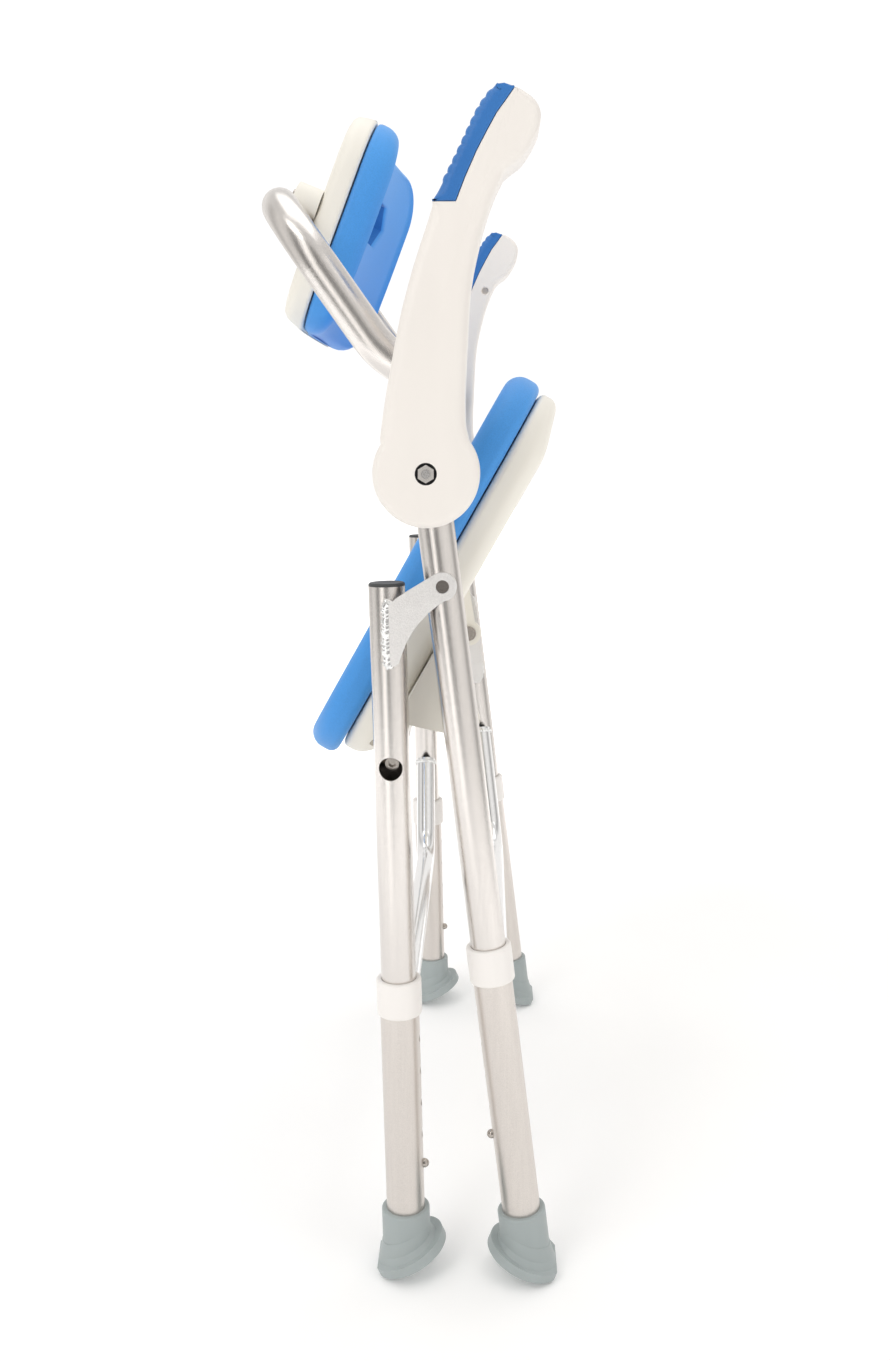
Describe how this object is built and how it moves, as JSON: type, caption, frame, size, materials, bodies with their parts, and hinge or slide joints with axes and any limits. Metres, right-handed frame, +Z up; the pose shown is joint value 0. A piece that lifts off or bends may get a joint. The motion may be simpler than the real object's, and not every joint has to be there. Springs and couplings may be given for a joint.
{
  "type": "folding shower chair",
  "caption": "Folding shower chair with padded seat and back, flip-up armrests and height-adjustable legs, stored folded and standing.",
  "frame": {"origin": "middle of the base, on the floor the folded chair stands on", "axes": "+X the way the sitter faces, +Y to the sitter's left, +Z up"},
  "size_m": [0.2194, 0.5744, 0.857],
  "materials": {
    "aluminium_tube": "satin anodised, fine sand-blast grain",
    "aluminium_plate": "sand-blasted laser-cut plate",
    "weld": "bright rippled weld",
    "polished_tube": "polished",
    "steel": "bright zinc-plated steel",
    "black_plastic": "black moulded plug",
    "white_plastic": "warm white satin moulding",
    "ivory_plastic": "ivory satin moulding",
    "blue_foam": "closed-cell foam skin with fine grain",
    "blue_grip": "soft ribbed grip",
    "collar_plastic": "white moulded bush",
    "grey_rubber": "matt moulded rubber"
  },
  "bodies": {
    "front_frame": {"front_leg_tube_right": "aluminium_tube", "front_leg_tube_left": "aluminium_tube", "front_crossbar": "polished_tube", "seat_hinge_plate_right": "aluminium_plate", "seat_hinge_plate_left": "aluminium_plate", "seat_plate_welds": "weld", "seat_hinge_bolts": "steel", "leg_pivot_rivets": "steel", "armrest_pivot_bolts": "steel", "back_tube": "aluminium_tube", "back_tube_plugs": "black_plastic", "back_bosses": "ivory_plastic", "back_screws": "steel", "back_shell": "ivory_plastic", "back_pad": "blue_foam", "armrest_nuts": "steel", "armrest_washers": "steel"},
    "rear_frame": {"rear_leg_tube_right": "aluminium_tube", "rear_leg_tube_left": "aluminium_tube", "rear_crossbar": "polished_tube", "pivot_bracket_right": "aluminium_plate", "pivot_bracket_left": "aluminium_plate", "bracket_welds": "weld", "rear_leg_caps": "black_plastic", "rear_cross_rod": "aluminium_tube", "cross_rod_sleeves": "collar_plastic", "cross_rod_bolts": "steel"},
    "seat": {"seat_shell": "ivory_plastic", "seat_pad": "blue_foam", "seat_hinge_bracket_right": "ivory_plastic", "seat_hinge_bracket_left": "ivory_plastic", "seat_hinge_washers": "collar_plastic", "seat_screws": "steel"},
    "armrest_right": {"armrest_shell_right": "white_plastic", "armrest_cover_right": "white_plastic", "armrest_grip_right": "blue_grip"},
    "armrest_left": {"armrest_shell_left": "white_plastic", "armrest_cover_left": "white_plastic", "armrest_grip_left": "blue_grip"},
    "front_right_extension": {"front_lower_tube_right": "aluminium_tube", "front_collar_right": "collar_plastic", "front_foot_right": "grey_rubber"},
    "front_right_button": {"front_snap_button_right": "steel"},
    "front_left_extension": {"front_lower_tube_left": "aluminium_tube", "front_collar_left": "collar_plastic", "front_foot_left": "grey_rubber"},
    "front_left_button": {"front_snap_button_left": "steel"},
    "rear_right_extension": {"rear_lower_tube_right": "aluminium_tube", "rear_collar_right": "collar_plastic", "rear_foot_right": "grey_rubber"},
    "rear_right_button": {"rear_snap_button_right": "steel"},
    "rear_left_extension": {"rear_lower_tube_left": "aluminium_tube", "rear_collar_left": "collar_plastic", "rear_foot_left": "grey_rubber"},
    "rear_left_button": {"rear_snap_button_left": "steel"}
  },
  "joints": [
    {"name": "rear_leg_fold", "type": "hinge", "parent": "front_frame", "child": "rear_frame", "pos_m": [0.02147, 0, 0.51871], "axis": [0, 1, 0], "range_deg": [0, 46.6]},
    {"name": "seat_fold", "type": "hinge", "parent": "front_frame", "child": "seat", "pos_m": [0.03443, 0, 0.41915], "axis": [0, 1, 0], "range_deg": [0, 81.9]},
    {"name": "armrest_right_flip", "type": "hinge", "parent": "front_frame", "child": "armrest_right", "pos_m": [0.01165, -0.26743, 0.59407], "axis": [0, 1, 0], "range_deg": [0, 83.4]},
    {"name": "armrest_left_flip", "type": "hinge", "parent": "front_frame", "child": "armrest_left", "pos_m": [0.01165, 0.26743, 0.59407], "axis": [0, 1, 0], "range_deg": [0, 83.4]},
    {"name": "front_right_leg_length", "type": "slide", "parent": "front_frame", "child": "front_right_extension", "axis": [0.1291, 0, -0.9916], "range_m": [0, 0.1016], "deforming": ["front_snap_button_right"]},
    {"name": "front_right_button_press", "type": "slide", "parent": "front_frame", "child": "front_right_button", "axis": [0.9916, 0, 0.1291], "range_m": [0, 0.0045], "stiffness_N_per_m": 1500},
    {"name": "front_left_leg_length", "type": "slide", "parent": "front_frame", "child": "front_left_extension", "axis": [0.1291, 0, -0.9916], "range_m": [0, 0.1016], "deforming": ["front_snap_button_left"]},
    {"name": "front_left_button_press", "type": "slide", "parent": "front_frame", "child": "front_left_button", "axis": [0.9916, 0, 0.1291], "range_m": [0, 0.0045], "stiffness_N_per_m": 1500},
    {"name": "rear_right_leg_length", "type": "slide", "parent": "rear_frame", "child": "rear_right_extension", "axis": [0.0277, 0, -0.9996], "range_m": [0, 0.1016], "deforming": ["rear_snap_button_right"]},
    {"name": "rear_right_button_press", "type": "slide", "parent": "rear_frame", "child": "rear_right_button", "axis": [-0.9996, 0, -0.0277], "range_m": [0, 0.0045], "stiffness_N_per_m": 1500},
    {"name": "rear_left_leg_length", "type": "slide", "parent": "rear_frame", "child": "rear_left_extension", "axis": [0.0277, 0, -0.9996], "range_m": [0, 0.1016], "deforming": ["rear_snap_button_left"]},
    {"name": "rear_left_button_press", "type": "slide", "parent": "rear_frame", "child": "rear_left_button", "axis": [-0.9996, 0, -0.0277], "range_m": [0, 0.0045], "stiffness_N_per_m": 1500}
  ],
  "couplings": [
    {"joint": "seat_fold", "follows": "rear_leg_fold", "ratio": 1.7554}
  ]
}
